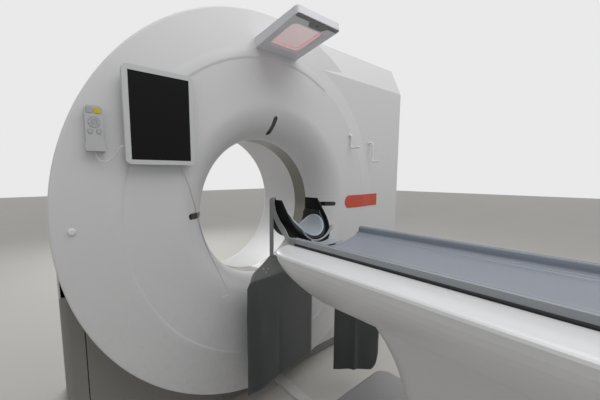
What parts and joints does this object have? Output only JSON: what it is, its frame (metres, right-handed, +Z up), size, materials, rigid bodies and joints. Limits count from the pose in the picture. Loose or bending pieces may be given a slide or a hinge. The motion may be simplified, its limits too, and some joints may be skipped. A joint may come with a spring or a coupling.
{
  "type": "computed tomography scanner",
  "caption": "Medical scanner: a drum-shaped gantry with a round bore, hooded overhead visor, side display and hand control, and a lifting patient table that slides into the bore.",
  "frame": {"origin": "on the floor, under the centre of the scan plane, on the underside of the gantry's floor plate", "axes": "+Y along the bore, from the table into the gantry; +Z up; +X to the right of someone facing the gantry"},
  "size_m": [2.0169, 3.509, 1.882],
  "materials": {
    "cover_white": "satin",
    "base_grey": "satin",
    "window_film": "gloss",
    "dark_pane": "gloss",
    "visor_grey": "satin",
    "visor_pane": "gloss",
    "camera_strip": "gloss",
    "display_grey": "satin",
    "screen_black": "gloss",
    "bracket_grey": "satin",
    "remote_grey": "satin",
    "key_grey": "matte",
    "key_yellow": "matte",
    "cord_white": "matte",
    "hook_white": "gloss",
    "stand_steel": "satin",
    "bearing_steel": "brushed",
    "cast_aluminium": "cast",
    "track_brass": "brushed",
    "tube_iron": "painted",
    "weight_iron": "cast",
    "belt_rubber": "matte",
    "brush_plastic": "matte",
    "duct_white": "satin",
    "table_white": "gloss",
    "pedestal_grey": "satin",
    "foot_grey": "satin",
    "column_aluminium": "anodised",
    "tabletop_carbon": "satin",
    "mattress_vinyl": "satin",
    "holder_black": "satin",
    "pad_vinyl": "satin",
    "restraint_cloth": "woven"
  },
  "bodies": {
    "stand": {"front_cover": "cover_white", "side_shell": "cover_white", "rear_cover": "cover_white", "rear_funnel": "cover_white", "scan_window": "window_film", "laser_windows": "dark_pane", "base_front_panel": "base_grey", "base_left_cover": "base_grey", "base_right_cover": "base_grey", "access_panel": "base_grey", "visor_frame": "visor_grey", "visor_window": "visor_pane", "visor_camera_bar": "camera_strip", "display_mount": "bracket_grey", "display_case": "display_grey", "display_screen": "screen_black", "remote_holder": "remote_grey", "remote_case": "remote_grey", "remote_cord": "cord_white", "curved_hook": "hook_white", "bar_hook": "hook_white", "base_frame": "stand_steel", "bearing_outer_race": "bearing_steel", "drive_motor": "tube_iron", "drive_belt": "belt_rubber", "brush_block": "brush_plastic", "cable_duct": "duct_white", "table_base_plate": "stand_steel", "pedestal_lower_cover": "foot_grey", "column_outer_tubes": "column_aluminium"},
    "rotor": {"rotor_drum": "cast_aluminium", "bearing_inner_race": "bearing_steel", "slip_ring": "track_brass", "xray_tube": "tube_iron", "tube_cooler": "cast_aluminium", "generator": "cast_aluminium", "collimator": "bearing_steel", "detector_arc": "cast_aluminium", "counterweights": "weight_iron"},
    "pulley": {"drive_pulley": "cast_aluminium"},
    "lift_middle": {"column_middle_tubes": "column_aluminium", "pedestal_middle_cover": "pedestal_grey"},
    "table_body": {"column_inner_tubes": "column_aluminium", "table_frame": "stand_steel", "table_body_cover": "table_white", "pedestal_upper_cover": "pedestal_grey", "tabletop_drive": "tube_iron"},
    "tabletop": {"tabletop_shell": "tabletop_carbon", "mattress": "mattress_vinyl", "rail_carriages": "bearing_steel", "head_holder": "holder_black", "head_cushions": "pad_vinyl", "restraint_left": "restraint_cloth", "restraint_right": "restraint_cloth"},
    "key_grey_body": {"key_grey": "key_grey"},
    "key_yellow_body": {"key_yellow": "key_yellow"},
    "direction_pad_body": {"direction_pad": "key_grey"},
    "centre_key_body": {"centre_key": "key_grey"},
    "key_low_left_body": {"key_low_left": "key_grey"},
    "key_low_right_body": {"key_low_right": "key_grey"}
  },
  "joints": [
    {"name": "rotor_spin", "type": "hinge", "parent": "stand", "child": "rotor", "pos_m": [0, 0, 0.985], "axis": [0, 1, 0], "continuous": true},
    {"name": "pulley_spin", "type": "hinge", "parent": "stand", "child": "pulley", "pos_m": [0.93, 0, 0.425], "axis": [0, 1, 0], "continuous": true},
    {"name": "table_lift", "type": "slide", "parent": "stand", "child": "table_body", "axis": [0, 0, 1], "range_m": [-0.335, 0.03], "deforming": ["restraint_left", "restraint_right"]},
    {"name": "middle_lift", "type": "slide", "parent": "stand", "child": "lift_middle", "axis": [0, 0, 1], "range_m": [-0.168, 0.0155]},
    {"name": "tabletop_slide", "type": "slide", "parent": "table_body", "child": "tabletop", "axis": [0, 1, 0], "range_m": [0, 1.6]},
    {"name": "key_grey_press", "type": "slide", "parent": "stand", "child": "key_grey_body", "axis": [0, 1, 0], "range_m": [0, 0.001], "stiffness_N_per_m": 600},
    {"name": "key_yellow_press", "type": "slide", "parent": "stand", "child": "key_yellow_body", "axis": [0, 1, 0], "range_m": [0, 0.001], "stiffness_N_per_m": 600},
    {"name": "direction_pad_press", "type": "slide", "parent": "stand", "child": "direction_pad_body", "axis": [0, 1, 0], "range_m": [0, 0.001], "stiffness_N_per_m": 600},
    {"name": "centre_key_press", "type": "slide", "parent": "stand", "child": "centre_key_body", "axis": [0, 1, 0], "range_m": [0, 0.001], "stiffness_N_per_m": 600},
    {"name": "key_low_left_press", "type": "slide", "parent": "stand", "child": "key_low_left_body", "axis": [0, 1, 0], "range_m": [0, 0.001], "stiffness_N_per_m": 600},
    {"name": "key_low_right_press", "type": "slide", "parent": "stand", "child": "key_low_right_body", "axis": [0, 1, 0], "range_m": [0, 0.001], "stiffness_N_per_m": 600}
  ],
  "couplings": [
    {"joint": "pulley_spin", "follows": "rotor_spin", "ratio": 13.333},
    {"joint": "middle_lift", "follows": "table_lift", "ratio": 0.5}
  ]
}
